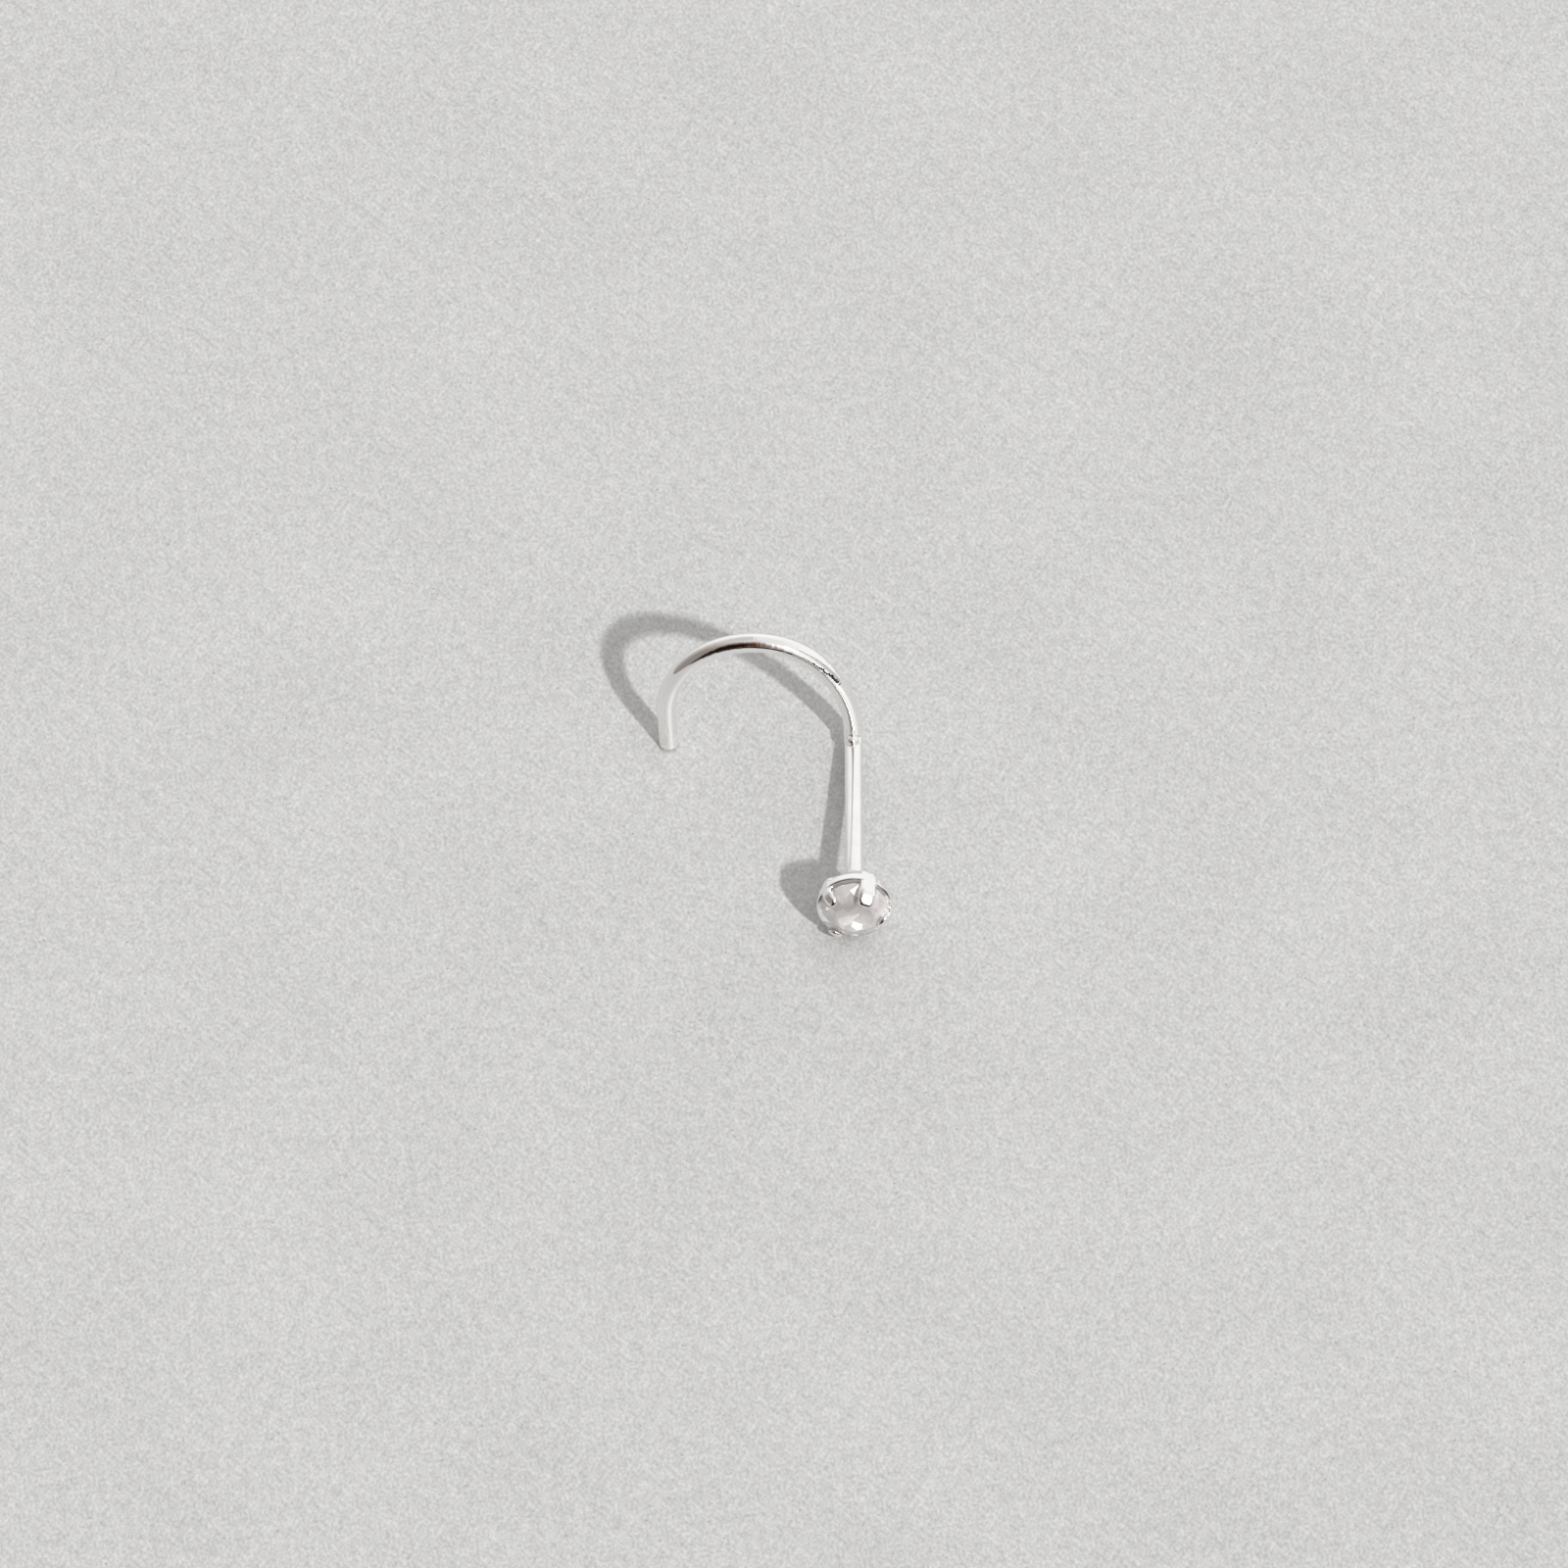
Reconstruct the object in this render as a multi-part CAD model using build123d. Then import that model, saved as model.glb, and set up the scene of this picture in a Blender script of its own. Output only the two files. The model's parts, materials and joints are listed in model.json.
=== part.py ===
from build123d import *
from math import cos, radians, sin, sqrt, tan
import os

# A nose screw of round silver wire, lying unworn on a flat surface.
# A straight post carries a claw-set round stone at one end. At the other end the wire turns
# through a tight elbow into a hook that was bent by hand, with a flat-cut tip.
#
# Millimetres, +Z up. The surface is z = 0 and the origin is the middle of the footprint.
# The stone faces -Y and the hook stands across the post at the +Y end, curling over to -X.
# The stud lies on three points: the elbow, the hook's tip and the rim of the setting.
#
# It is first modelled square, with the elbow's corner at the origin, the post along -Y and
# the hook in the plane y = 0. lie_down() then tilts it until all three points touch.

# Wire: post, elbow and hook
WIRE_D = 0.64            # 22 gauge
WIRE_R = WIRE_D / 2
POST_L = 7.17            # elbow's corner to the wire's end, inside the hub
ELBOW_R = 0.50           # centreline, so that the inside of the bend is tight
BEAD_R = 0.21            # metal pinched up on the inside of the elbow
BEAD_ALONG = 0.48        # its centre, from the elbow's corner along the post
BEAD_UP = 0.33

# Hook: straight rise, three arcs, straight tail down to the surface
HOOK_LEAN = 2.7          # degrees from upright at the elbow, towards -X
HOOK_RISE = 0.53
HOOK_ARCS = (            # (centreline radius, degrees turned)
    (4.28, 40.2),
    (2.95, 59.7),
    (2.83, 80.2),
)

# Stone: round brilliant. Heights are along its axis, from the back of the gallery ring.
STONE_R = 1.125
GIRDLE_LOW = 0.39
GIRDLE_HIGH = 0.47
TABLE_HEIGHT = 0.81
TABLE_R = 0.64           # out to the corners of the eight-sided table
CROWN_ANGLE = 34.5
STAR_ANGLE = 21.0
UPPER_GIRDLE_ANGLE = 41.0
PAVILION_ANGLE = 41.0
LOWER_GIRDLE_ANGLE = 42.3
MAIN_FACETS = 8
FACET_STEP = 360 / MAIN_FACETS
ROUGH_BELOW = 0.1        # uncut stone under the point, before the pavilion is cut

# Setting: hub, gallery ring and four claws
SEAT_TO_ELBOW = 8.12     # back of the gallery ring to the elbow's corner
RING_R_OUT = 1.236
RING_R_IN = 1.04
RING_H = 0.28
RING_EDGE = 0.05
HUB_BACK = -1.16
HUB_FRONT = -0.80
HUB_R_BACK = 0.36
HUB_R_FRONT = 0.50
CLAWS = (                # (degrees round from +X seen from the face, width, tip's end from
    (67.0, 0.55, 0.65, 0.30),    # the axis, metal left over the stone's crown)
    (141.0, 0.42, 0.78, 0.13),
    (235.0, 0.50, 0.88, 0.11),
    (347.0, 0.42, 0.80, 0.14),
)
CLAW_T = 0.34
CLAW_EDGE = 0.145
CLAW_FOOT_R = 0.22
CLAW_FOOT_HEIGHT = -0.95
CLAW_KNEE_R = 1.075      # middle of the claw, where it turns up beside the ring
CLAW_KNEE_HEIGHT = -0.10
CLAW_SHOULDER_R = 1.075  # middle of the claw, where it turns in over the stone
CLAW_KNEE_BEND = 0.19
CLAW_SHOULDER_BEND = 0.30
STONE_GAP = 0.03         # left all round the stone
CROWN_ROOM = 0.07        # height left over the crown's cone, which the facets' edges need

# Search for the tilt at rest, in degrees
TILT_MOST = 20.0
TILT_STEP = 0.001


def facet_cut(gem, azimuth, angle, radius, height, side):
    """Cuts the gem by the plane through (radius, height) at this azimuth, tilted from the
    girdle plane by this angle. side is 1 for the crown and -1 for the pavilion."""
    a = radians(azimuth)
    out = Vector(cos(a), sin(a), 0)
    normal = out * sin(radians(angle)) + Vector(0, 0, side * cos(radians(angle)))
    plane = Plane(origin=out * radius + Vector(0, 0, height), z_dir=normal)
    return split(gem, bisect_by=plane, keep=Keep.BOTTOM)


def round_stone():
    """Round brilliant on the Z axis: table, eight mains, eight stars and sixteen girdle
    facets above the girdle, and eight mains and sixteen girdle facets below it."""
    below = STONE_R * tan(radians(PAVILION_ANGLE)) + ROUGH_BELOW
    gem = Pos(0, 0, GIRDLE_LOW - below) * Cylinder(
        STONE_R, TABLE_HEIGHT - GIRDLE_LOW + below, align=(Align.CENTER, Align.CENTER, Align.MIN)
    )
    chord_r = STONE_R * cos(radians(FACET_STEP / 4))
    table_side = TABLE_R * cos(radians(FACET_STEP / 2))
    for n in range(MAIN_FACETS):
        main = n * FACET_STEP
        gem = facet_cut(gem, main, CROWN_ANGLE, STONE_R, GIRDLE_HIGH, 1)
        gem = facet_cut(gem, main, PAVILION_ANGLE, STONE_R, GIRDLE_LOW, -1)
        star = main + FACET_STEP / 2
        gem = facet_cut(gem, star, STAR_ANGLE, table_side, TABLE_HEIGHT, 1)
        for side in (-1, 1):
            half = main + side * FACET_STEP / 4
            gem = facet_cut(gem, half, UPPER_GIRDLE_ANGLE, chord_r, GIRDLE_HIGH, 1)
            gem = facet_cut(gem, half, LOWER_GIRDLE_ANGLE, chord_r, GIRDLE_LOW, -1)
    return gem


def gallery_ring():
    ring = Cylinder(RING_R_OUT, RING_H, align=(Align.CENTER, Align.CENTER, Align.MIN))
    ring -= Cylinder(RING_R_IN, RING_H, align=(Align.CENTER, Align.CENTER, Align.MIN))
    return fillet(ring.edges().filter_by(GeomType.CIRCLE), RING_EDGE)


def hub():
    """Small cone that joins the wire to the four claws' feet."""
    height = HUB_FRONT - HUB_BACK
    cone = Cone(HUB_R_BACK, HUB_R_FRONT, height, align=(Align.CENTER, Align.CENTER, Align.MIN))
    return Pos(0, 0, HUB_BACK) * cone


def claw(width, tip_r, cover):
    """Rounded strap in the XZ plane, X outward: up and out from the hub, on past the girdle,
    then in over the crown, along its slope, to a rounded tip. cover is the metal that stays
    over the crown once the claw is notched for the stone."""
    slope = radians(CROWN_ANGLE)
    girdle_to_middle = CROWN_ROOM + (cover - CLAW_T / 2) / cos(slope)

    def over_crown(radius):
        return GIRDLE_HIGH + (STONE_R - radius) * tan(slope) + girdle_to_middle

    foot = (CLAW_FOOT_R, 0, CLAW_FOOT_HEIGHT)
    knee = (CLAW_KNEE_R, 0, CLAW_KNEE_HEIGHT)
    shoulder = (CLAW_SHOULDER_R, 0, over_crown(CLAW_SHOULDER_R))
    tip = (tip_r, 0, over_crown(tip_r))
    path = FilletPolyline(foot, knee, shoulder, tip, radius=(CLAW_KNEE_BEND, CLAW_SHOULDER_BEND))
    section = Plane(origin=path @ 0, x_dir=(0, 1, 0), z_dir=path % 0)
    strap = sweep(section * RectangleRounded(width, CLAW_T, CLAW_EDGE), path=path)
    return strap - tip_corners(tip, slope, width)


def tip_corners(tip, slope, width):
    """What is cut off a square strap end to round it, seen from above the crown."""
    inward = Vector(-cos(slope), 0, sin(slope))
    end = Plane(origin=tip, x_dir=inward, z_dir=(sin(slope), 0, cos(slope)))
    half = width / 2
    square = Pos(-half / 2, 0) * Rectangle(half, width + 2 * CLAW_EDGE)
    corners = square - Pos(-half, 0) * Circle(half)
    return extrude(end * corners, CLAW_T, both=True)


def stone_room():
    """Space that the notched claws and the ring's seat leave for the stone."""
    slope = tan(radians(CROWN_ANGLE))
    drop = tan(radians(PAVILION_ANGLE))
    radius = STONE_R + STONE_GAP
    low = GIRDLE_LOW - STONE_GAP
    high = GIRDLE_HIGH + CROWN_ROOM - STONE_GAP * slope
    outline = Polyline(
        (0, 0, low - radius * drop),
        (radius, 0, low),
        (radius, 0, high),
        (0, 0, high + radius * slope),
        close=True,
    )
    return revolve(make_face(outline), axis=Axis.Z)


def setting():
    """Hub, ring and claws, on the Z axis with the stone's face up."""
    body = hub() + gallery_ring()
    for azimuth, width, tip_r, cover in CLAWS:
        body += Rot(0, 0, azimuth) * claw(width, tip_r, cover)
    return body - stone_room()


def face_front(shape):
    """Turns a shape on the Z axis to face -Y, and moves it to the post's end."""
    return Pos(0, -SEAT_TO_ELBOW, 0) * Rot(90, 0, 0) * shape


def hook_route(tip_height):
    """Edges of the hook's centreline, from the elbow's corner to the tip at this height."""
    hook_plane = Plane(origin=(0, 0, 0), x_dir=(-1, 0, 0), z_dir=(0, 1, 0))
    heading = 90 - HOOK_LEAN
    away = Vector(cos(radians(heading)), sin(radians(heading)))
    edges = [Line(away * ELBOW_R, away * HOOK_RISE)]
    for radius, turn in HOOK_ARCS:
        edges.append(JernArc(edges[-1] @ 1, edges[-1] % 1, radius, -turn))
        heading -= turn
    end = edges[-1] @ 1
    down = edges[-1] % 1
    tail = (end.Y - tip_height) / -down.Y
    edges.append(Line(end, end + down * tail))
    return [hook_plane * edge for edge in edges]


def elbow_arc(up):
    """Quarter turn from the post, which runs along Y, to the hook's first direction."""
    along = Vector(0, 1, 0)
    centre = (up - along) * ELBOW_R
    middle = centre + (along - up).normalized() * ELBOW_R
    return ThreePointArc(along * -ELBOW_R, middle, up * ELBOW_R)


def wire(tip_height):
    """Post, elbow and hook in one bent wire, with the bead inside the elbow."""
    hook = hook_route(tip_height)
    up = hook[0] % 0
    post = Line((0, -POST_L, 0), (0, -ELBOW_R, 0))
    route = Wire([post.edge(), elbow_arc(up).edge()] + [part.edge() for part in hook])
    section = Plane(origin=route @ 0, z_dir=route % 0) * Circle(WIRE_R)
    bead = Pos(0, -BEAD_ALONG, BEAD_UP) * Sphere(BEAD_R)
    return sweep(section, path=route) + bead


def lowest(shape, tilt):
    """Height of the tilted shape's lowest point."""
    return (Rot(-tilt, 0, 0) * shape).bounding_box().min.Z


def elbow_depth(tilt):
    """How far the tilted elbow's outside reaches below its corner."""
    t = radians(tilt)
    return WIRE_R - ELBOW_R * (sin(t) + cos(t) - 1)


def resting_tilt(head):
    """Degrees by which the post rises towards the stone, with elbow and setting level."""
    low = 0.0
    high = TILT_MOST
    while high - low > TILT_STEP:
        tilt = (low + high) / 2
        if lowest(head, tilt) < -elbow_depth(tilt):
            low = tilt
        else:
            high = tilt
    return high


def tip_height_on_surface(tilt):
    """Height of the tip's centre over the elbow's corner, square to the post, at which the
    rim of the flat-cut end touches the surface."""
    turned = sum(turn for radius, turn in HOOK_ARCS)
    past_down = turned + HOOK_LEAN - 180
    upright = cos(radians(tilt)) * cos(radians(past_down))
    rim = WIRE_R * sqrt(1 - upright**2)
    return (rim - elbow_depth(tilt)) / cos(radians(tilt))


def lie_down(shape, tilt):
    return Pos(0, 0, elbow_depth(tilt)) * Rot(-tilt, 0, 0) * shape


def main():
    head = face_front(setting())
    tilt = resting_tilt(head)
    metal = lie_down(wire(tip_height_on_surface(tilt)) + head, tilt)
    stone = lie_down(face_front(round_stone()), tilt)
    box = metal.bounding_box()
    centre = Pos(-(box.min.X + box.max.X) / 2, -(box.min.Y + box.max.Y) / 2, 0)
    parts = {"silver_stud": centre * metal, "round_stone": centre * stone}
    os.makedirs("parts", exist_ok=True)
    for name, shape in parts.items():
        export_step(shape, f"parts/{name}.step")
        size = shape.bounding_box().size
        print(f"{name}: {shape.volume:.4f} mm3, {size.X:.3f} x {size.Y:.3f} x {size.Z:.3f}")
    print(f"post rises {tilt:.3f} degrees towards the stone")


main()
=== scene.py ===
import json
from itertools import product
from math import asin, cos, pi, radians, sin, tan

import bmesh
import bpy
import numpy as np
from mathutils import Matrix, Vector


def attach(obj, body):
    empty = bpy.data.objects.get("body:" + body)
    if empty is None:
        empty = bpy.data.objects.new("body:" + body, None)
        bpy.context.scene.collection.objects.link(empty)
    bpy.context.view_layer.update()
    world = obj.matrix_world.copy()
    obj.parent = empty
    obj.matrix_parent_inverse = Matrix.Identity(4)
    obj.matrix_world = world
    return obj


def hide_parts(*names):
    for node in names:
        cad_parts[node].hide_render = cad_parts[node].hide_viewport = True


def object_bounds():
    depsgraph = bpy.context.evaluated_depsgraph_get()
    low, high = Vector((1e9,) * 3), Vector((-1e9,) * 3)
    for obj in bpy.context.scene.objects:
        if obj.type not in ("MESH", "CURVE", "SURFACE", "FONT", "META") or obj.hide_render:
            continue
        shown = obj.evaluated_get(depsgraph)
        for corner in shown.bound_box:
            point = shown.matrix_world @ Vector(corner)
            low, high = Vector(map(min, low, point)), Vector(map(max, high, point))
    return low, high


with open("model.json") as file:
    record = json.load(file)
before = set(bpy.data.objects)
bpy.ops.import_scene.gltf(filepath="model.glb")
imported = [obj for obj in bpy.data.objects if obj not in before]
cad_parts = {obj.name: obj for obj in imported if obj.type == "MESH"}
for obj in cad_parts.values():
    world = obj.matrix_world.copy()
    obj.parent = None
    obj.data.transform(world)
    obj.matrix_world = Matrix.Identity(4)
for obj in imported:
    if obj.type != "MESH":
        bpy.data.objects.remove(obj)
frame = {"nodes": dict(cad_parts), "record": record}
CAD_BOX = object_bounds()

# A nose screw of polished silver wire with a claw-set round stone, lying on pale paper.
#
# The whole silver part is one closed mesh. It is described by a distance field, which is
# negative inside the metal: the bent wire, the bead inside the elbow, the hub, the gallery
# ring and the claws are fields of their own, and they run into each other with soft joints,
# as soldered and cast metal does. The mesh is the surface where the field is zero.
#
# Fields are in millimetres in the stud's square frame: the elbow's corner is the origin, the
# post runs along -Y and the hook stands in the plane y = 0 and curls to -X. LIE turns that
# frame into the row's, where the stud lies on three points.

MM = 0.001
PER_MM = 1000.0           # textures have their scale in turns per metre

# Where the stud lies, from the frame
POST_MOUNT = frame["record"]["mounts"][0]
WIRE_R = POST_MOUNT["dims"]["r_mm"]
TILT = asin(POST_MOUNT["axis"][2])
POST_MIDDLE = 3.66        # from the elbow's corner to the mount
ELBOW = Vector(POST_MOUNT["pos_m"]) / MM - Vector(POST_MOUNT["axis"]) * POST_MIDDLE
LIE = Matrix.Translation(ELBOW) @ Matrix.Rotation(-TILT, 4, "X")

# Wire
POST_L = 7.17             # from the elbow's corner into the setting's hub
ELBOW_R = 0.50
HOOK_LEAN = radians(2.7)
HOOK_RISE = 0.53          # from the elbow's corner to where the curl begins
HOOK_ARCS = ((4.28, 40.2), (2.95, 59.7), (2.83, 80.2))    # (radius, degrees turned)
TIP_HEIGHT = -0.225       # height at which the hook's end is cut off
TIP_EDGE = 0.05           # rounding of the cut end
BEAD = (-0.04, -0.48, 0.33)    # middle of the bead in the elbow's inner corner
BEAD_R = 0.21
BEAD_BLEND = 0.02         # how softly it joins the wire

# What the bending left on the wire
MARKED = (1.6, 7.4)       # stretch that the pliers roughened, along the hook from the elbow
MARKED_FADE = 1.2         # how gradually that stretch begins and ends
WAVE_LENGTH = 2.1         # the wire is a little wavy all along
WAVE_DEPTH = 0.002
WAVE_TWIST = 1.3          # how much the waves run slantwise round the wire
SHORT_WAVES = 1.85        # shorter waves to one long one

# Setting. Heights are along the stone's axis, from the back of the gallery ring.
SEAT_TO_ELBOW = 8.12
RING_R_OUT = 1.236
RING_R_IN = 1.04
RING_H = 0.28
RING_EDGE = 0.03
HUB_BACK = -1.16
HUB_FRONT = -0.80
HUB_R_BACK = 0.33
HUB_R_FRONT = 0.50
HUB_EDGE = 0.06
CLAWS = (
    # degrees round from +X seen from the face, width, tip's end from the axis, metal over the
    # crown, bend at the shoulder, how far the tip is pushed sideways
    (67.0, 0.58, 0.72, 0.30, 0.16, 0.03),
    (141.0, 0.42, 0.78, 0.13, 0.20, 0.0),
    (235.0, 0.50, 0.88, 0.11, 0.16, 0.0),
    (350.0, 0.42, 0.78, 0.14, 0.24, 0.15),
)
CLAW_T = 0.34
CLAW_EDGE = 0.145
CLAW_TIP_EDGE = 0.20      # rounding of its end, seen from above
CLAW_FOOT = (0.22, -0.95)      # (distance from the stone's axis, height), in the hub
CLAW_KNEE = (1.075, -0.10)     # where it turns up along the ring
CLAW_SHOULDER_R = 1.06
CLAW_KNEE_BEND = 0.19
CLAW_SLOPE = radians(40.0)    # of its last part, a little steeper than the crown
SOLDER = 0.07             # how far soldered pieces run into each other
HEAD_MARGIN = 0.3         # how far behind the hub the head's field still counts

# Stone, as far as the claws' notches and the ring's seat need it
STONE_R = 1.125
GIRDLE_LOW = 0.39
GIRDLE_HIGH = 0.47
CROWN_ANGLE = radians(34.5)
PAVILION_ANGLE = radians(41.0)
STONE_GAP = 0.025
CROWN_ROOM = 0.07         # between the crown and the claws' notches
NOTCH_EDGE = 0.02

GRID = 0.032              # size of the mesh's faces
MERGE = 0.002             # points that settled nearer to each other than this become one
BLOCK = 24                # grid cells along the side of a block that is worked out at once
MARGIN = 4                # grid cells left free round the metal
FAR = 1e3                 # further than any distance that is worked out

# Colours along a texture, as (place on it from 0 to 1, colour)
SILVER_TONES = ((0.3, (0.92, 0.905, 0.89)), (0.7, (0.97, 0.96, 0.95)))
STONE_TONES = ((0.3, (0.97, 0.95, 0.94)), (0.7, (1.0, 0.985, 0.98)))
GLINT_FROM = 0.88         # shards of the stone above this share get a painted glint
# The milky share's colours: tone that differs by shard, and painted glints in the top stops
HAZE_AND_GLINT_TONES = (
    (0.0, (0.56, 0.53, 0.52)),
    (0.16, (0.76, 0.725, 0.71)),
    (GLINT_FROM, (0.86, 0.83, 0.82)),
    (0.94, (1.0, 1.0, 1.0)),
)
PAPER_TONES = ((0.34, (0.40, 0.40, 0.397)), (0.66, (0.66, 0.66, 0.656)))
PAPER_SPECK = (0.36, 0.355, 0.35)
PAPER_SHARES = {"grain": 0.68, "felt": 0.22, "cloud": 0.10}
FIBRE_TURN = radians(37.0)

# Painted glints in the stone
GLINT_FACET_FACING = (-0.643, -0.765, -0.038)    # the way that the one facet with a painted white glint faces
SHARD_SHIFT = (2.1, 1.3, 0.8)             # chooses which shards get painted glints

# Camera: far away with a long lens, as the proportions show no perspective
ELEVATION = radians(47.66)
CAMERA_DISTANCE = 500.0
FRAME_WIDTH = 51.76       # width of the view where the stud lies
LOOK_AT = (0.33, 2.398, 0.0)

# Lamp: a sun in front and to the right, 37 degrees high
KEY_STRENGTH = 2.7
KEY_WIDTH = radians(2.6)
TO_KEY = (0.73, -1.13, 1.0)

# Floor and surroundings
PAPER_HALF = 1200.0       # half the side of the sheet
BACKDROP = (0.66, 0.66, 0.655)
REFLECTION_SHEET_LIFT = 0.02        # height of the sheet of painted dark reflection over the paper
# colour of the painted dark reflection
DARK_REFLECTION_COLOUR = (0.012, 0.009, 0.008, 1.0)

# Sheet of painted dark reflection on the viewer's side of the stud, as (x, y), which only the
# metal mirrors: its near edge by the stone, its right end, the notch that lets a bright strip
# through, and its left end
DARK_REFLECTION_CORNERS = (
    (-28, -47), (-9, -22), (-1.4, -10.4), (0.3, -6.1), (4, -6.8), (8, -8.0), (19, -11),
    (70, -26), (190, -50), (600, -120), (600, -600),
    (46, -55), (19, -30), (12, -33), (9, -45), (4, -400),
    (-250, -400),
)

# Room that the metal mirrors. Its walls, as (degrees to the right of the viewer, colour)
ROOM_WALLS = (
    (-180, (0.98, 0.98, 0.98)),
    (-150, (0.92, 0.92, 0.92)),
    (-125, (0.66, 0.66, 0.655)),
    (-100, (0.40, 0.385, 0.37)),
    (-75, (0.28, 0.25, 0.235)),
    (-36, (0.27, 0.235, 0.215)),
    (-30, (0.010, 0.007, 0.006)),
    (-5, (0.010, 0.005, 0.004)),
    (0, (0.09, 0.032, 0.016)),
    (6, (0.24, 0.17, 0.145)),
    (11, (0.38, 0.33, 0.31)),
    (17, (0.98, 0.97, 0.96)),
    (180, (0.98, 0.98, 0.98)),
)
CEILING_LEFT = (0.60, 0.59, 0.58)
CEILING_RIGHT = (0.82, 0.82, 0.815)
WALL_TOP = (28.0, 64.0)   # heights in degrees between which the walls turn to the ceiling
WALL_TO_CEILING = (
    (0.0, (0.0, 0.0, 0.0)),
    (0.3, (0.08, 0.04, 0.025)),
    (0.65, (0.5, 0.42, 0.38)),
    (1.0, (1.0, 1.0, 1.0)),
)
RAIL_LEAN = 0.65          # the rails lie in planes that lean back this much
RAIL_COLOUR = (0.03, 0.024, 0.02)
THROUGH_STONE = (1.0, 0.97, 0.96)    # what the room fades to where it is seen through the stone


# ---------------------------------------------------------------- distance fields

def unit(vector):
    return np.array(vector, float) / np.linalg.norm(vector)


def smooth_union(a, b, reach):
    """a and b together, with the joint filled where they are less than reach apart."""
    mix = np.clip(0.5 + 0.5 * (b - a) / reach, 0.0, 1.0)
    return b + (a - b) * mix - reach * mix * (1.0 - mix)


def smooth_cut(a, b, reach):
    """a with b taken away."""
    return -smooth_union(-a, b, reach)


def line_piece(start, end, out):
    """Straight stretch. out points to the outside of the bends next to it."""
    start = np.array(start, float)
    end = np.array(end, float)
    length = np.linalg.norm(end - start)
    return {"start": start, "along": unit(end - start), "out": unit(out), "length": length}


def arc_piece(start, heading, inward, radius, turn):
    """Arc that leaves start along heading and bends towards inward, through turn radians."""
    inward = unit(inward)
    heading = unit(heading)
    return {
        "centre": np.array(start, float) + inward * radius,
        "first": -inward,
        "second": heading,
        "radius": radius,
        "turn": turn,
        "length": radius * turn,
    }


def piece_end(piece):
    """(point, heading) at the end of a piece."""
    if "along" in piece:
        return piece["start"] + piece["along"] * piece["length"], piece["along"]
    c = cos(piece["turn"])
    s = sin(piece["turn"])
    point = piece["centre"] + (piece["first"] * c + piece["second"] * s) * piece["radius"]
    return point, piece["second"] * c - piece["first"] * s


def from_piece(piece, points):
    """For each point: its offset from the nearest centreline point, how far along the piece
    that is, and how much of the offset points to the outside of the bend."""
    if "along" in piece:
        s = np.clip((points - piece["start"]) @ piece["along"], 0.0, piece["length"])
        offset = points - piece["start"] - s[:, None] * piece["along"]
        return offset, s, offset @ piece["out"]
    local = points - piece["centre"]
    half = piece["turn"] / 2
    middle = piece["first"] * cos(half) + piece["second"] * sin(half)
    side = piece["second"] * cos(half) - piece["first"] * sin(half)
    angle = np.arctan2(local @ side, local @ middle)
    angle = np.clip(angle, -half, half)
    near = np.outer(np.cos(angle), middle) + np.outer(np.sin(angle), side)
    offset = local - near * piece["radius"]
    return offset, (angle + half) * piece["radius"], (offset * near).sum(1)


def wire_route():
    """Centreline of post, elbow and hook as straight and round pieces, from the setting on."""
    along = np.array((0.0, 1.0, 0.0))
    up = np.array((-sin(HOOK_LEAN), 0.0, cos(HOOK_LEAN)))
    route = [
        line_piece((0, -POST_L, 0), -along * ELBOW_R, (0, 0, 1)),
        arc_piece(-along * ELBOW_R, along, up, ELBOW_R, pi / 2),
        line_piece(up * ELBOW_R, up * HOOK_RISE, (up[2], 0, -up[0])),
    ]
    for radius, turn in HOOK_ARCS:
        point, heading = piece_end(route[-1])
        inward = np.array((-heading[2], 0.0, heading[0]))
        route.append(arc_piece(point, heading, inward, radius, radians(turn)))
    point, heading = piece_end(route[-1])
    tail = (point[2] - TIP_HEIGHT) / -heading[2]
    route.append(line_piece(point, point + heading * tail, (heading[2], 0, -heading[0])))
    return route


ROUTE = wire_route()
HOOK_START = ROUTE[0]["length"] + ROUTE[1]["length"]
TIP, TIP_HEADING = piece_end(ROUTE[-1])


def on_wire(points):
    """For each point: its distance from the centreline, how far along the wire it is, and how
    far it is to the front and to the outside of the bend. The last three are its place on the
    wire if that were drawn out straight."""
    best = np.full(len(points), FAR)
    s = np.zeros(len(points))
    out = np.zeros(len(points))
    front = np.zeros(len(points))
    before = 0.0
    for piece in ROUTE:
        away, along, outward = from_piece(piece, points)
        reach = np.linalg.norm(away, axis=1)
        nearer = reach < best
        best[nearer] = reach[nearer]
        s[nearer] = before + along[nearer]
        out[nearer] = outward[nearer]
        front[nearer] = -away[nearer, 1]
        before += piece["length"]
    return best, s, front, out


def wire_distance(points):
    """The bent wire, slightly wavy, up to its cut end."""
    reach, along, front, _ = on_wire(points)
    side = front / np.maximum(reach, WIRE_R / 2)
    turns = along / WAVE_LENGTH * 2 * pi
    waves = np.sin(turns + WAVE_TWIST * side) + np.sin(turns * SHORT_WAVES - side)
    round_wire = reach - WIRE_R + WAVE_DEPTH * (2.0 - waves) / 4
    past_tip = (points - TIP) @ TIP_HEADING
    return -smooth_union(-round_wire, -past_tip, TIP_EDGE)


def bead_distance(points):
    return np.linalg.norm(points - np.array(BEAD), axis=1) - BEAD_R


def rounded_box(sides, edge):
    """Distance from offsets past each side of a box, with this edge rounding."""
    past = np.stack(sides) + edge
    return np.linalg.norm(np.maximum(past, 0.0), axis=0) + np.minimum(past.max(0), 0.0) - edge


def ring_distance(radius, height):
    middle = (RING_R_OUT + RING_R_IN) / 2
    half = (RING_R_OUT - RING_R_IN) / 2
    sides = (np.abs(radius - middle) - half, np.abs(height - RING_H / 2) - RING_H / 2)
    return rounded_box(sides, RING_EDGE)


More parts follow.
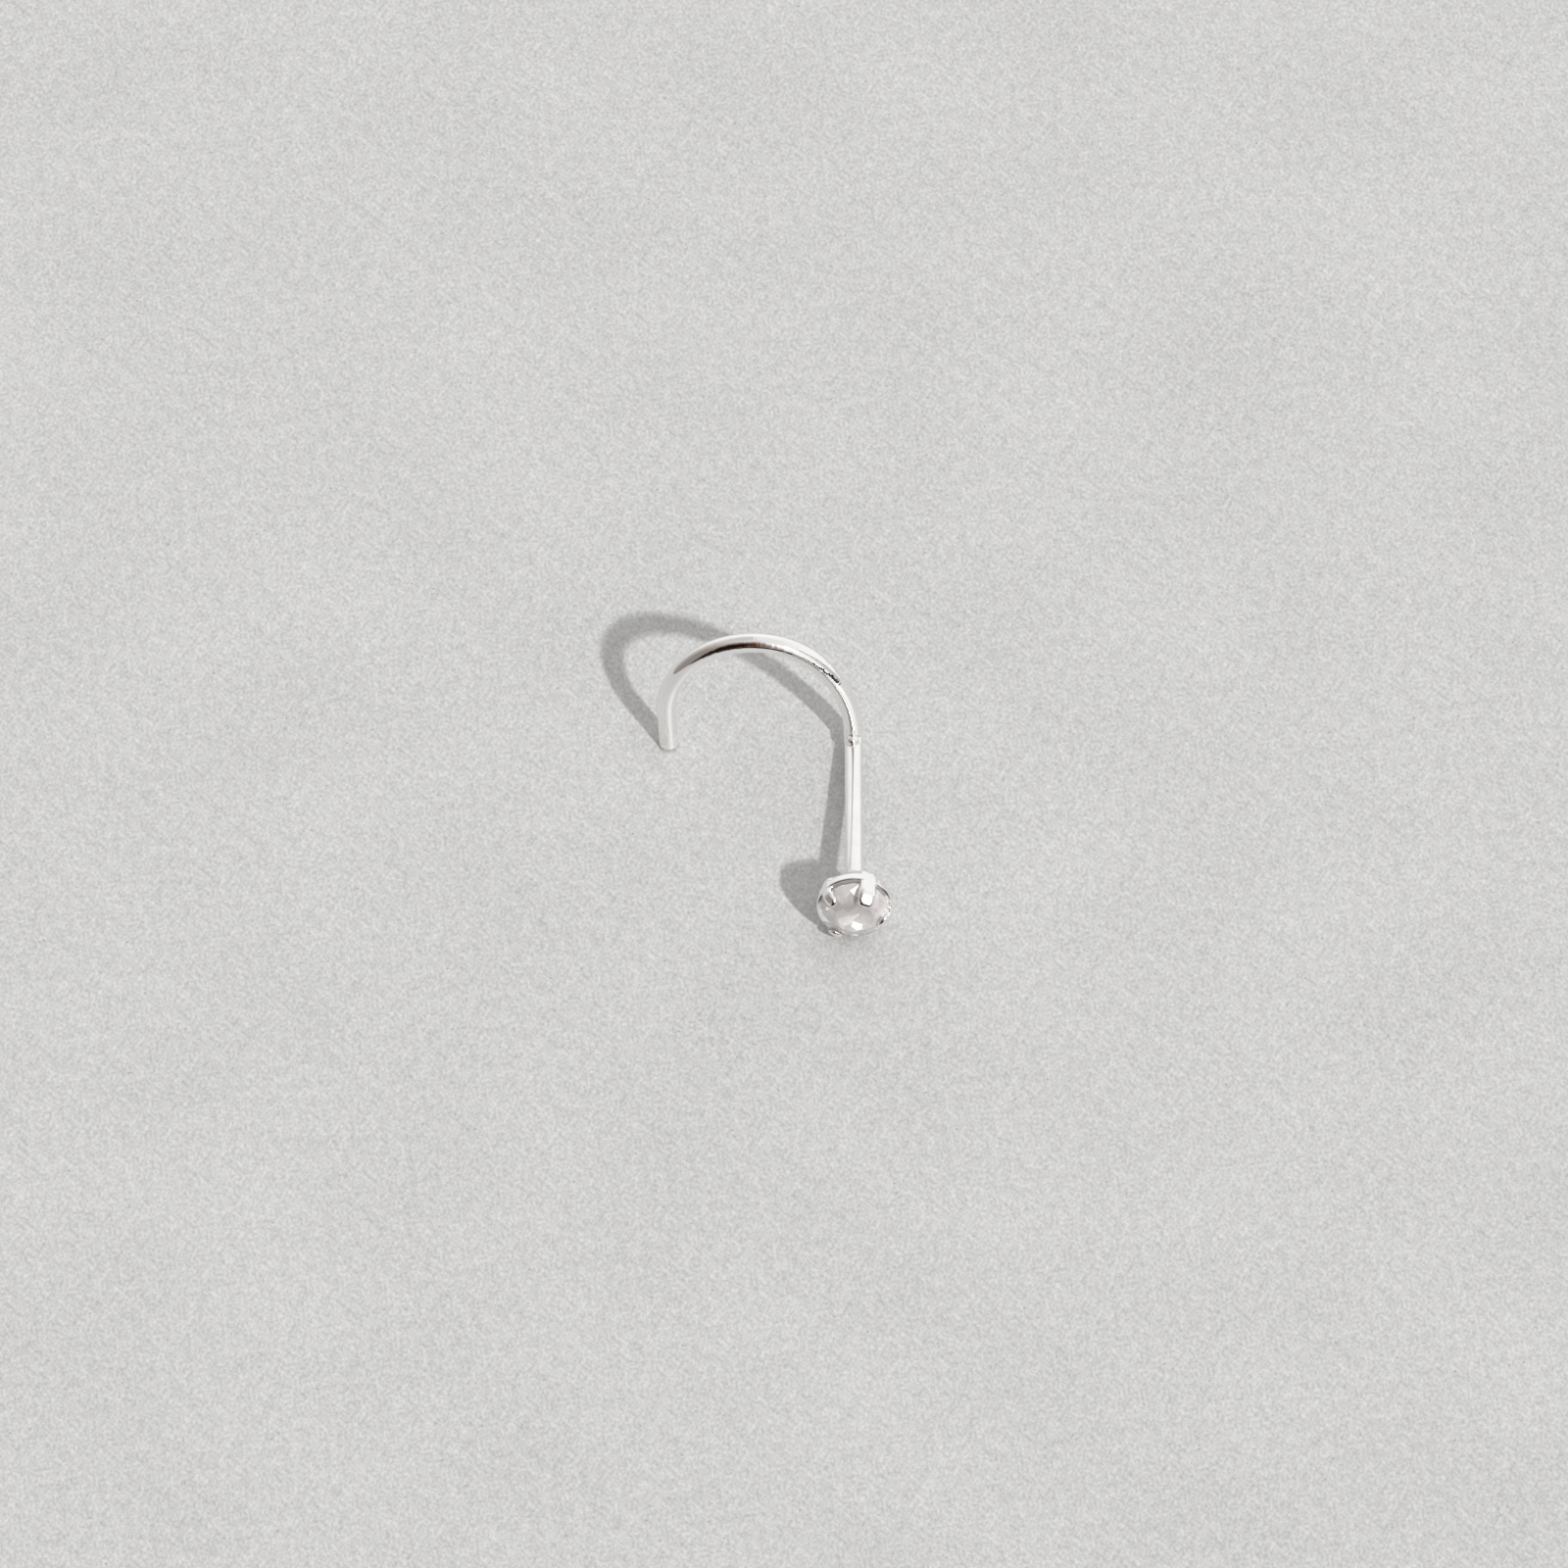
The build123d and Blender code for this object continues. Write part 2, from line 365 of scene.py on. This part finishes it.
def hub_distance(radius, height):
    share = np.clip((height - HUB_BACK) / (HUB_FRONT - HUB_BACK), 0.0, 1.0)
    wall = radius - (HUB_R_BACK + (HUB_R_FRONT - HUB_R_BACK) * share)
    ends = np.abs(height - (HUB_BACK + HUB_FRONT) / 2) - (HUB_FRONT - HUB_BACK) / 2
    return rounded_box((wall, ends), HUB_EDGE)


def filleted(corners, radii, steps=8):
    """Points along a polyline in a plane, with its inner corners rounded."""
    points = [np.array(corners[0], float)]
    for before, corner, after, radius in zip(corners, corners[1:], corners[2:], radii):
        corner = np.array(corner, float)
        back = unit(np.array(before) - corner)
        on = unit(np.array(after) - corner)
        half = np.arccos(back @ on) / 2
        reach = radius / np.tan(half)
        centre = corner + unit(back + on) * radius / np.sin(half)
        first = corner + back * reach - centre
        last = corner + on * reach - centre
        for n in range(steps + 1):
            share = n / steps
            point = first * (1 - share) + last * share
            points.append(centre + unit(point) * radius)
    points.append(np.array(corners[-1], float))
    return np.array(points)


def claw_path(tip_r, cover, bend):
    """A claw's middle line, from its foot at the hub over the knee and shoulder to its tip."""
    rise = CROWN_ROOM + (cover - CLAW_T / 2) / cos(CROWN_ANGLE)
    over = GIRDLE_HIGH + (STONE_R - CLAW_SHOULDER_R) * tan(CROWN_ANGLE) + rise
    shoulder = (CLAW_SHOULDER_R, over)
    tip = (tip_r, over + (CLAW_SHOULDER_R - tip_r) * tan(CLAW_SLOPE))
    return filleted((CLAW_FOOT, CLAW_KNEE, shoulder, tip), (CLAW_KNEE_BEND, bend))


def claw_distance(out, side, height, path, width):
    """Rounded strap along a path in the plane through the stone's axis. out and height are
    the path's own coordinates, and side is across the strap."""
    best = np.full(len(out), FAR)
    across = np.zeros(len(out))
    past = np.zeros(len(out))
    last = len(path) - 2
    for n in range(len(path) - 1):
        step = path[n + 1] - path[n]
        length = np.linalg.norm(step)
        step = step / length
        outward = out - path[n][0]
        upward = height - path[n][1]
        along = outward * step[0] + upward * step[1]
        on = np.clip(along, 0.0, length)
        reach = np.hypot(outward - on * step[0], upward - on * step[1])
        nearer = reach < best
        best = np.where(nearer, reach, best)
        if n == last:
            end = along - length
        elif n == 0:
            end = -along
        else:
            end = np.full(len(out), -1.0)
        # Past a flat end, only the distance from the strap's plane counts
        sideways = np.abs(outward * step[1] - upward * step[0])
        across = np.where(nearer, np.where(end > 0, sideways, reach), across)
        past = np.where(nearer, end, past)
    half_t = CLAW_T / 2
    plan = rounded_box((np.abs(side) - width / 2, past), CLAW_TIP_EDGE)
    return rounded_box((across - half_t, plan), CLAW_EDGE)


def stone_room(radius, height):
    """Space that the claws' notches and the ring's seat leave for the stone."""
    wall = radius - (STONE_R + STONE_GAP)
    low = height - (GIRDLE_LOW - STONE_GAP)
    high = height - (GIRDLE_HIGH + CROWN_ROOM - STONE_GAP)
    pavilion = wall * sin(PAVILION_ANGLE) - low * cos(PAVILION_ANGLE)
    crown = wall * sin(CROWN_ANGLE) + high * cos(CROWN_ANGLE)
    return np.maximum(np.maximum(wall, pavilion), crown)


def head_distance(points):
    """Hub, gallery ring and claws, with the room for the stone taken away."""
    out_x = points[:, 0]
    out_z = points[:, 2]
    height = -(points[:, 1] + SEAT_TO_ELBOW)
    radius = np.hypot(out_x, out_z)
    claws = None
    for azimuth, width, tip_r, cover, bend, push in CLAWS:
        azimuth = radians(azimuth)
        path = claw_path(tip_r, cover, bend)
        out = out_x * cos(azimuth) + out_z * sin(azimuth)
        side = out_z * cos(azimuth) - out_x * sin(azimuth)
        over = np.clip((CLAW_SHOULDER_R - out) / (CLAW_SHOULDER_R - tip_r), 0.0, 1.0)
        side = side + push * over * (height > GIRDLE_HIGH)
        claw = claw_distance(out, side, height, path, width)
        claws = claw if claws is None else np.minimum(claws, claw)
    frame_work = smooth_union(ring_distance(radius, height), claws, SOLDER)
    body = smooth_union(frame_work, hub_distance(radius, height), SOLDER)
    return smooth_cut(body, stone_room(radius, height), NOTCH_EDGE)


def silver_distance(points):
    """The whole silver part."""
    field = smooth_union(wire_distance(points), bead_distance(points), BEAD_BLEND)
    height = -(points[:, 1] + SEAT_TO_ELBOW)
    near_head = height > HUB_BACK - HEAD_MARGIN
    if near_head.any():
        head = head_distance(points[near_head])
        field[near_head] = smooth_union(field[near_head], head, SOLDER)
    return field


# ---------------------------------------------------------------- mesh from a field

def sampled_field(field, low, shape):
    """Field at every grid point, worked out only in the blocks that the surface may cross."""
    values = np.full(shape, 1.0, np.float32)
    reach = BLOCK * GRID
    starts = [range(0, n, BLOCK) for n in shape]
    corners = np.array([(i, j, k) for i in starts[0] for j in starts[1] for k in starts[2]])
    middles = low + (corners + BLOCK / 2) * GRID
    # A block's corners are 0.87 of its side from its middle
    near = np.abs(field(middles)) < reach * 0.95
    for i, j, k in corners[near]:
        block = tuple(slice(a, min(a + BLOCK, n)) for a, n in zip((i, j, k), shape))
        axes = [np.arange(b.start, b.stop) for b in block]
        grid = np.stack(np.meshgrid(*axes, indexing="ij"), -1)
        points = low + grid.reshape(-1, 3) * GRID
        values[block] = field(points).reshape(grid.shape[:3])
    return values


def surface_net(values, low):
    """Points and four-sided faces of the surface where a sampled field is zero. Each cell
    that the surface crosses has one point, and each crossed grid edge has one face."""
    inside = values < 0
    shape = np.array(values.shape)
    strides = np.array((shape[1] * shape[2], shape[2], 1))
    cells = []
    crossings = []
    for axis in range(3):
        one = np.zeros(3, int)
        one[axis] = 1
        b, c = (axis + 1) % 3, (axis + 2) % 3
        here = tuple(slice(0, n - 1) if a == axis else slice(0, n) for a, n in enumerate(shape))
        there = tuple(slice(1, n) if a == axis else slice(0, n) for a, n in enumerate(shape))
        edges = np.argwhere(inside[here] != inside[there])
        v0 = values[tuple(edges.T)]
        v1 = values[tuple((edges + one).T)]
        cross = edges + one * (v0 / (v0 - v1))[:, None]
        round_edge = []
        for db, dc in ((-1, -1), (0, -1), (0, 0), (-1, 0)):
            step = np.zeros(3, int)
            step[b] = db
            step[c] = dc
            round_edge.append((edges + step) @ strides)
        quad = np.stack(round_edge, 1)
        inward = v0 >= 0
        quad[inward] = quad[inward][:, ::-1]
        cells.append(quad.ravel())
        crossings.append(np.repeat(cross, 4, axis=0))
    cells = np.concatenate(cells)
    crossings = np.concatenate(crossings)
    crossed, point_of = np.unique(cells, return_inverse=True)
    total = np.zeros((len(crossed), 3))
    for axis in range(3):
        total[:, axis] = np.bincount(point_of, crossings[:, axis], len(crossed))
    count = np.bincount(point_of, minlength=len(crossed))
    points = low + total / count[:, None] * GRID
    return points, point_of.reshape(-1, 4)


def settle(points, field, rounds=3, step=0.002):
    """Moves points onto the surface where the field is zero."""
    for _ in range(rounds):
        value = field(points)
        slope = np.zeros_like(points)
        for axis in range(3):
            one = np.zeros(3)
            one[axis] = step
            slope[:, axis] = (field(points + one) - field(points - one)) / (2 * step)
        steepness = np.maximum((slope**2).sum(1), 0.25)
        move = -value[:, None] * slope / steepness[:, None]
        points = points + np.clip(move, -GRID, GRID)
    return points


def mesh_object(name, points, faces, matrix):
    """Object at the origin, from points in millimetres and the matrix that places them."""
    placed = points @ np.array(matrix.to_3x3()).T + np.array(matrix.translation)
    mesh = bpy.data.meshes.new(name)
    mesh.from_pydata((placed * MM).tolist(), [], faces.tolist())
    mesh.validate()
    mesh.shade_smooth()
    obj = bpy.data.objects.new(name, mesh)
    bpy.context.scene.collection.objects.link(obj)
    return obj


def merge_points(mesh):
    """Makes points that lie on each other one, and drops the empty faces between them."""
    shell = bmesh.new()
    shell.from_mesh(mesh)
    bmesh.ops.remove_doubles(shell, verts=shell.verts, dist=MERGE * MM)
    shell.to_mesh(mesh)
    shell.free()


def silver_part():
    """The silver's object. Its attribute straight_wire holds each point's place on the wire
    drawn out straight, for marks that follow the bends."""
    inverse = np.array(LIE.inverted())
    corners = np.array([Vector(corner) / MM for corner in product(*zip(*CAD_BOX))])
    square = corners @ inverse[:3, :3].T + inverse[:3, 3]
    margin = MARGIN * GRID
    low = square.min(0) - margin
    shape = tuple(np.ceil((square.max(0) + margin - low) / GRID).astype(int))
    values = sampled_field(silver_distance, low, shape)
    points, faces = surface_net(values, low)
    points = settle(points, silver_distance)
    silver = mesh_object("polished_silver", points, faces, LIE)
    straight = silver.data.attributes.new("straight_wire", "FLOAT_VECTOR", "POINT")
    straight.data.foreach_set("vector", np.stack(on_wire(points)[1:], 1).ravel())
    merge_points(silver.data)
    return silver


# ---------------------------------------------------------------- materials

class Nodes:
    """Short names for adding and joining nodes."""

    def __init__(self, tree, output_kind):
        self.tree = tree
        tree.nodes.clear()
        self.output = self.add(output_kind)

    def add(self, kind, **settings):
        node = self.tree.nodes.new(kind)
        for key, value in settings.items():
            setattr(node, key, value)
        return node

    def join(self, source, target):
        self.tree.links.new(source, target)

    def show(self, shader):
        """Makes this shader the one that is rendered."""
        self.join(shader.outputs[0], self.output.inputs[0])

    def maths(self, operation, a, b=0.0):
        """Each of a and b is a number or a node's output."""
        node = self.add("ShaderNodeMath", operation=operation)
        for socket, value in zip(node.inputs, (a, b)):
            if isinstance(value, (int, float)):
                socket.default_value = value
            else:
                self.join(value, socket)
        return node.outputs[0]

    def spread_evenly(self, value, low, high):
        """Share of the way from low to high."""
        node = self.add("ShaderNodeMapRange")
        self.join(value, node.inputs[0])
        node.inputs[1].default_value = low
        node.inputs[2].default_value = high
        return node.outputs[0]

    def mix_channels(self, share, a, b):
        """Colour a, turning to b, with a share for each of red, green and blue."""
        change = self.add("ShaderNodeVectorMath", operation="SUBTRACT")
        self.join(b, change.inputs[0])
        self.join(a, change.inputs[1])
        both = self.add("ShaderNodeVectorMath", operation="MULTIPLY_ADD")
        self.join(share, both.inputs[0])
        self.join(change.outputs[0], both.inputs[1])
        self.join(a, both.inputs[2])
        return both.outputs[0]

    def spread(self, value, low, high, to_low=0.0, to_high=1.0):
        """to_low up to low and to_high from high on, with a smooth step between them."""
        node = self.add("ShaderNodeMapRange", interpolation_type="SMOOTHSTEP")
        self.join(value, node.inputs[0])
        for socket, number in zip(node.inputs[1:5], (low, high, to_low, to_high)):
            socket.default_value = number
        return node.outputs[0]

    def band(self, value, low, high, edge):
        """1 from low to high, fading to 0 over edge at either side."""
        rise = self.spread(value, low - edge / 2, low + edge / 2)
        fall = self.spread(value, high + edge / 2, high - edge / 2)
        return self.maths("MULTIPLY", rise, fall)

    def mix(self, share, a, b):
        """Colour a, turning to b as share goes to 1."""
        node = self.add("ShaderNodeMix", data_type="RGBA")
        colours = (node.inputs[6], node.inputs[7])
        for socket, colour in zip(colours, (a, b)):
            if isinstance(colour, tuple):
                socket.default_value = (*colour, 1.0)
            else:
                self.join(colour, socket)
        self.join(share, node.inputs[0])
        return node.outputs[2]

    def bump(self, height, distance, strength, below=None):
        """Surface direction for a relief, on top of another relief where below is given."""
        node = self.add("ShaderNodeBump")
        node.inputs["Distance"].default_value = distance
        self.join(height, node.inputs["Height"])
        if isinstance(strength, float):
            node.inputs["Strength"].default_value = strength
        else:
            self.join(strength, node.inputs["Strength"])
        if below is not None:
            self.join(below, node.inputs["Normal"])
        return node.outputs[0]

    def noise(self, vector, scale, detail=2.0, roughness=0.5):
        node = self.add("ShaderNodeTexNoise")
        node.inputs["Scale"].default_value = scale
        node.inputs["Detail"].default_value = detail
        node.inputs["Roughness"].default_value = roughness
        self.join(vector, node.inputs["Vector"])
        return node.outputs["Fac"]

    def mapped(self, vector, **settings):
        """vector after a Mapping node with these settings."""
        node = self.add("ShaderNodeMapping")
        for name, value in settings.items():
            node.inputs[name].default_value = value
        self.join(vector, node.inputs["Vector"])
        return node.outputs[0]

    def chips(self, vector, scale):
        """A share from 0 to 1 that is the same all over each cell of a Voronoi texture."""
        cells = self.add("ShaderNodeTexVoronoi")
        cells.inputs["Scale"].default_value = scale
        self.join(vector, cells.inputs["Vector"])
        channels = self.add("ShaderNodeSeparateXYZ")
        self.join(cells.outputs["Color"], channels.inputs[0])
        return channels.outputs[0]

    def ramp(self, value, stops):
        """Colour at value, from stops of (place, colour)."""
        node = self.add("ShaderNodeValToRGB")
        elements = node.color_ramp.elements
        while len(elements) < len(stops):
            elements.new(0.5)
        for element, (place, colour) in zip(elements, stops):
            element.position = place
            element.color = (*colour, 1.0)
        self.join(value, node.inputs[0])
        return node.outputs[0]


def new_material(name):
    material = bpy.data.materials.new(name)
    material.use_nodes = True
    nodes = Nodes(material.node_tree, "ShaderNodeOutputMaterial")
    shader = nodes.add("ShaderNodeBsdfPrincipled")
    nodes.show(shader)
    return material, nodes, shader


def silver_material():
    """Polished silver: fine wear in its gloss, and plier marks on the bent part of the wire."""
    material, nodes, shader = new_material("polished_silver")
    place = nodes.add("ShaderNodeTexCoord").outputs["Object"]
    straight = nodes.add("ShaderNodeAttribute", attribute_name="straight_wire").outputs["Vector"]
    parts = nodes.add("ShaderNodeSeparateXYZ")
    nodes.join(straight, parts.inputs[0])
    along = parts.outputs[0]

    shader.inputs["Metallic"].default_value = 1.0
    wear = nodes.noise(place, 0.9 * PER_MM, 3.0)
    nodes.join(nodes.ramp(wear, SILVER_TONES), shader.inputs["Base Color"])
    scuffs = nodes.noise(place, 9.0 * PER_MM, 2.0)
    rough = nodes.spread(scuffs, 0.35, 0.75, 0.05, 0.11)
    dull_post = nodes.spread(along, HOOK_START - 0.3, HOOK_START - 1.3, 0.0, 0.07)
    nodes.join(nodes.maths("ADD", rough, dull_post), shader.inputs["Roughness"])

    polish = nodes.bump(nodes.noise(place, 5.2 * PER_MM, 3.0), 0.002 * MM, 0.2)
    low, high = (HOOK_START + end for end in MARKED)
    marked = nodes.band(along, low, high, MARKED_FADE)
    stretched = nodes.mapped(straight, Scale=(4.5, 2.2, 2.2))
    dents = nodes.noise(stretched, 1.0, 1.7, 0.55)
    pressed = nodes.bump(dents, 0.022 * MM, nodes.maths("MULTIPLY", marked, 0.5), polish)
    nodes.join(pressed, shader.inputs["Normal"])
    return material


def stone_material():
    """Clear cut stone with a milky share whose tone differs from shard to shard, and painted
    glints: single shards, sparks and one facet are made bright or white."""
    material, nodes, shader = new_material("clear_stone")
    coordinates = nodes.add("ShaderNodeTexCoord")
    place = coordinates.outputs["Object"]
    shader.inputs["Transmission Weight"].default_value = 1.0
    shader.inputs["IOR"].default_value = 2.0
    tint = nodes.noise(place, 0.7 * PER_MM)
    nodes.join(nodes.ramp(tint, STONE_TONES), shader.inputs["Base Color"])
    rough = nodes.spread(nodes.noise(place, 12.0 * PER_MM), 0.5, 0.8, 0.0, 0.05)
    nodes.join(rough, shader.inputs["Roughness"])

    # Painted highlight: the one facet that faces this way turns white, as if it caught the lamp
    turned = nodes.add("ShaderNodeVectorMath", operation="DOT_PRODUCT")
    turned.inputs[1].default_value = GLINT_FACET_FACING
    nodes.join(coordinates.outputs["Normal"], turned.inputs[0])
    facet_glint = nodes.spread(turned.outputs["Value"], 0.985, 0.995)
    # Painted glints: some shards and small sparks are made bright or white
    moved = nodes.mapped(place, Location=[shift * MM for shift in SHARD_SHIFT])
    shard = nodes.chips(moved, 2.9 * PER_MM)
    spark = nodes.spread(nodes.chips(moved, 7.0 * PER_MM), 0.95, 1.0, 0.0, 0.97)
    glint = nodes.maths("MAXIMUM", nodes.maths("MAXIMUM", shard, facet_glint), spark)

    milky = nodes.add("ShaderNodeBsdfPrincipled")
    nodes.join(nodes.ramp(glint, HAZE_AND_GLINT_TONES), milky.inputs["Base Color"])
    milky.inputs["Roughness"].default_value = 0.08
    milky.inputs["IOR"].default_value = 2.1

    cloudy = nodes.spread(nodes.noise(place, 1.5 * PER_MM), 0.3, 0.7, 0.42, 0.58)
    # Glinting shards show more of the milky share, so that their painted glint shows
    bright = nodes.spread(glint, GLINT_FROM, 0.95, 0.0, 0.5)
    both = nodes.add("ShaderNodeMixShader")
    nodes.join(nodes.maths("ADD", cloudy, bright), both.inputs[0])
    nodes.join(shader.outputs[0], both.inputs[1])
    nodes.join(milky.outputs[0], both.inputs[2])
    nodes.show(both)
    return material


def paper_material():
    """Pale uncoated paper: fine grain, a few dark specks, and a sheen towards the light."""
    material, nodes, shader = new_material("pale_paper")
    place = nodes.add("ShaderNodeTexCoord").outputs["Object"]
    fibres = nodes.mapped(place, Rotation=(0.0, 0.0, FIBRE_TURN), Scale=(1.45, 1.0, 1.0))
    grain = nodes.noise(fibres, 6.2 * PER_MM, 3.0, 0.65)
    felt = nodes.noise(fibres, 1.9 * PER_MM, 2.0)
    cloud = nodes.noise(place, 0.16 * PER_MM, 4.0)
    shares = [nodes.maths("MULTIPLY", texture, PAPER_SHARES[name])
              for name, texture in (("grain", grain), ("felt", felt), ("cloud", cloud))]
    mixed = nodes.maths("ADD", nodes.maths("ADD", shares[0], shares[1]), shares[2])
    specks = nodes.add("ShaderNodeTexVoronoi")
    specks.inputs["Scale"].default_value = 1.3 * PER_MM
    nodes.join(place, specks.inputs["Vector"])
    speck = nodes.spread(specks.outputs["Distance"], 0.075, 0.035)
    tone = nodes.mix(speck, nodes.ramp(mixed, PAPER_TONES), PAPER_SPECK)
    nodes.join(tone, shader.inputs["Base Color"])
    shader.inputs["Roughness"].default_value = 0.55
    shader.inputs["Specular IOR Level"].default_value = 0.6
    nodes.join(nodes.bump(grain, 0.03 * MM, 0.35), shader.inputs["Normal"])
    return material


# ---------------------------------------------------------------- studio

def stage_sheet(name, corners, material):
    """Flat sheet that isn't part of the stud, from corners in millimetres."""
    mesh = bpy.data.meshes.new(name)
    mesh.from_pydata([Vector(corner) * MM for corner in corners], [], [range(len(corners))])
    mesh.materials.append(material)
    sheet = bpy.data.objects.new(name, mesh)
    bpy.context.scene.collection.objects.link(sheet)
    return sheet


def paper_floor():
    half = PAPER_HALF
    corners = [(-half, -half, 0), (half, -half, 0), (half, half, 0), (-half, half, 0)]
    stage_sheet("paper_floor", corners, paper_material())


def dark_reflection_sheet():
    """Painted dark reflection: seen in the metal only, and only from above, so that the paper's
    sheen misses it. Its corners are listed clockwise and taken in reverse, which makes it face
    up."""
    material, nodes, shader = new_material("dark_reflection_sheet")
    shader.inputs["Base Color"].default_value = DARK_REFLECTION_COLOUR
    shader.inputs["Specular IOR Level"].default_value = 0.0
    backfacing = nodes.add("ShaderNodeNewGeometry").outputs["Backfacing"]
    nodes.join(nodes.maths("SUBTRACT", 1.0, backfacing), shader.inputs["Alpha"])
    corners = [(x, y, REFLECTION_SHEET_LIFT) for x, y in reversed(DARK_REFLECTION_CORNERS)]
    dark_reflector = stage_sheet("dark_reflection_sheet", corners, material)
    # Painted dark reflection: hidden from the camera, from light off the paper, from rays
    # through the stone and from shadows
    dark_reflector.visible_camera = False
    dark_reflector.visible_diffuse = False
    dark_reflector.visible_transmission = False
    dark_reflector.visible_shadow = False


def dark_room(nodes, azimuth, height, south, up):
    """Colour of the room that the metal mirrors. Azimuth is in degrees to the right of the
    viewer, height in degrees above the horizon. The viewer stands in a dark opening, with a
    dim wall to the left and white surroundings to the right and behind the stud."""
    turn = nodes.spread_evenly(azimuth, -180.0, 180.0)
    wall = nodes.ramp(turn, [((degree + 180) / 360, colour) for degree, colour in ROOM_WALLS])
    side = nodes.spread(azimuth, -60.0, 60.0)
    ceiling = nodes.mix(side, CEILING_LEFT, CEILING_RIGHT)
    rise = nodes.ramp(nodes.spread_evenly(height, *WALL_TOP), WALL_TO_CEILING)
    shell = nodes.mix_channels(rise, wall, ceiling)

    # Dark rails of a frame to the right: a thin one, and a wider one low down
    across = nodes.maths("SUBTRACT", south, nodes.maths("MULTIPLY", up, RAIL_LEAN))
    low_down = nodes.spread(height, 24.0, 12.0)
    wide = nodes.maths("MULTIPLY", nodes.band(across, 0.0, 0.56, 0.08), low_down)
    thin = nodes.band(across, 0.0, 0.26, 0.08)
    wide = nodes.maths("MULTIPLY", wide, 0.42)
    rails = nodes.maths("MAXIMUM", nodes.maths("MULTIPLY", thin, 0.50), wide)
    rails = nodes.maths("MULTIPLY", rails, nodes.spread(height, 56.0, 38.0))
    rails = nodes.maths("MULTIPLY", rails, nodes.band(azimuth, 20.0, 88.0, 6.0))
    return nodes.mix(rails, shell, RAIL_COLOUR)


def studio_world():
    """The room for what the metal and stone show, and a plain pale backdrop for the camera."""
    world = bpy.data.worlds.new("studio")
    bpy.context.scene.world = world
    world.use_nodes = True
    nodes = Nodes(world.node_tree, "ShaderNodeOutputWorld")
    axes = nodes.add("ShaderNodeSeparateXYZ")
    nodes.join(nodes.add("ShaderNodeTexCoord").outputs["Generated"], axes.inputs[0])
    east, north, up = axes.outputs
    south = nodes.maths("MULTIPLY", north, -1.0)
    azimuth = nodes.maths("DEGREES", nodes.maths("ARCTAN2", east, south))
    height = nodes.maths("DEGREES", nodes.maths("ARCSINE", up))
    path = nodes.add("ShaderNodeLightPath")
    through = nodes.maths("MULTIPLY", path.outputs["Is Transmission Ray"], 0.75)
    room = nodes.mix(through, dark_room(nodes, azimuth, height, south, up), THROUGH_STONE)
    seen = nodes.mix(path.outputs["Is Camera Ray"], room, BACKDROP)
    lit = nodes.add("ShaderNodeBackground")
    nodes.join(seen, lit.inputs["Color"])
    nodes.show(lit)


def key_light():
    """The one lamp, which casts the clear shadow."""
    lamp = bpy.data.lights.new("key", "SUN")
    lamp.energy = KEY_STRENGTH
    lamp.angle = KEY_WIDTH
    key = bpy.data.objects.new("key", lamp)
    key.rotation_mode = "QUATERNION"
    key.rotation_quaternion = Vector(TO_KEY).to_track_quat("Z", "Y")
    bpy.context.scene.collection.objects.link(key)


def main_camera():
    """Looks level along +Y and down at the stud."""
    data = bpy.data.cameras.new("camera")
    data.lens = data.sensor_width * CAMERA_DISTANCE / FRAME_WIDTH
    data.clip_start = 1.0 * MM
    data.clip_end = 20.0 * CAMERA_DISTANCE * MM
    camera = bpy.data.objects.new("camera", data)
    back = Vector((0.0, -cos(ELEVATION), sin(ELEVATION)))
    camera.location = (Vector(LOOK_AT) + back * CAMERA_DISTANCE) * MM
    camera.rotation_mode = "QUATERNION"
    camera.rotation_quaternion = (-back).to_track_quat("-Z", "Y")
    bpy.context.scene.collection.objects.link(camera)
    bpy.context.scene.camera = camera


# ---------------------------------------------------------------- the scene

silver = silver_part()
silver.data.materials.append(silver_material())
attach(silver, "root")
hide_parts("silver_stud")

stone = frame["nodes"]["round_stone"]
stone.data.materials.clear()
stone.data.materials.append(stone_material())

paper_floor()
dark_reflection_sheet()
studio_world()
key_light()
main_camera()
bpy.context.scene.view_settings.view_transform = "Standard"
